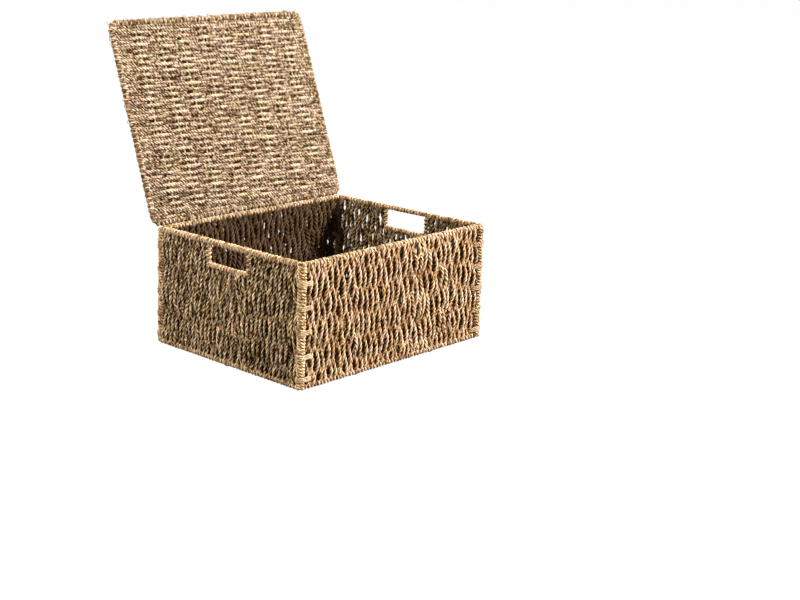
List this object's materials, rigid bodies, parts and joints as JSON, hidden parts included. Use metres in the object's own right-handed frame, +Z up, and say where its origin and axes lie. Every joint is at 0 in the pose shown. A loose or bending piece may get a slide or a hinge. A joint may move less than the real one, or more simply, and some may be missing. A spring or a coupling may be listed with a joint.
{
  "type": "woven lidded storage box",
  "caption": "Rectangular storage box of woven seagrass cord on wire frames, with lashed corners, a hand hole in each short wall and a flat lid hung on cord loops.",
  "frame": {"origin": "middle of the flat underside of the base, on the floor", "axes": "+X along the long front wall to the right as seen from the front, +Y to the back wall where the lid is hung, +Z up"},
  "size_m": [0.4336, 0.4479, 0.51],
  "materials": {
    "woven_cord": "two-ply twisted seagrass, dull, tan to olive brown",
    "edge_wrap": "seagrass wound closely round a wire, dull straw",
    "twine": "pale twisted twine, dull",
    "frame_wire": "thin matt coat in straw colour"
  },
  "bodies": {
    "box": {"front_frame": "frame_wire", "back_frame": "frame_wire", "left_frame": "frame_wire", "right_frame": "frame_wire", "base_frame": "frame_wire", "front_mat": "woven_cord", "back_mat": "woven_cord", "left_mat": "woven_cord", "right_mat": "woven_cord", "base_mat": "woven_cord", "front_rim_wrap": "edge_wrap", "back_rim_wrap": "edge_wrap", "left_rim_wrap": "edge_wrap", "right_rim_wrap": "edge_wrap", "front_foot_wrap": "edge_wrap", "back_foot_wrap": "edge_wrap", "left_foot_wrap": "edge_wrap", "right_foot_wrap": "edge_wrap", "front_left_post_wrap": "edge_wrap", "front_right_post_wrap": "edge_wrap", "back_left_post_wrap": "edge_wrap", "back_right_post_wrap": "edge_wrap", "left_handle_binding": "edge_wrap", "right_handle_binding": "edge_wrap", "front_left_lashing_1": "twine", "front_left_lashing_2": "twine", "front_left_lashing_3": "twine", "front_left_lashing_4": "twine", "front_left_lashing_5": "twine", "front_right_lashing_1": "twine", "front_right_lashing_2": "twine", "front_right_lashing_3": "twine", "front_right_lashing_4": "twine", "front_right_lashing_5": "twine", "back_left_lashing_1": "twine", "back_left_lashing_2": "twine", "back_left_lashing_3": "twine", "back_left_lashing_4": "twine", "back_left_lashing_5": "twine", "back_right_lashing_1": "twine", "back_right_lashing_2": "twine", "back_right_lashing_3": "twine", "back_right_lashing_4": "twine", "back_right_lashing_5": "twine", "hinge_loop_1": "twine", "hinge_loop_2": "twine", "hinge_loop_3": "twine", "hinge_loop_4": "twine", "base_tie_front_left": "twine", "base_tie_front_right": "twine", "base_tie_back_left": "twine", "base_tie_back_right": "twine", "base_tie_left": "twine", "base_tie_right": "twine"},
    "lid": {"lid_frame": "frame_wire", "lid_mat": "woven_cord", "lid_rim_wrap": "edge_wrap"}
  },
  "joints": [
    {"name": "lid_hinge", "type": "hinge", "parent": "box", "child": "lid", "pos_m": [0, 0.165, 0.1982], "axis": [1, 0, 0], "range_deg": [0, 110]}
  ]
}
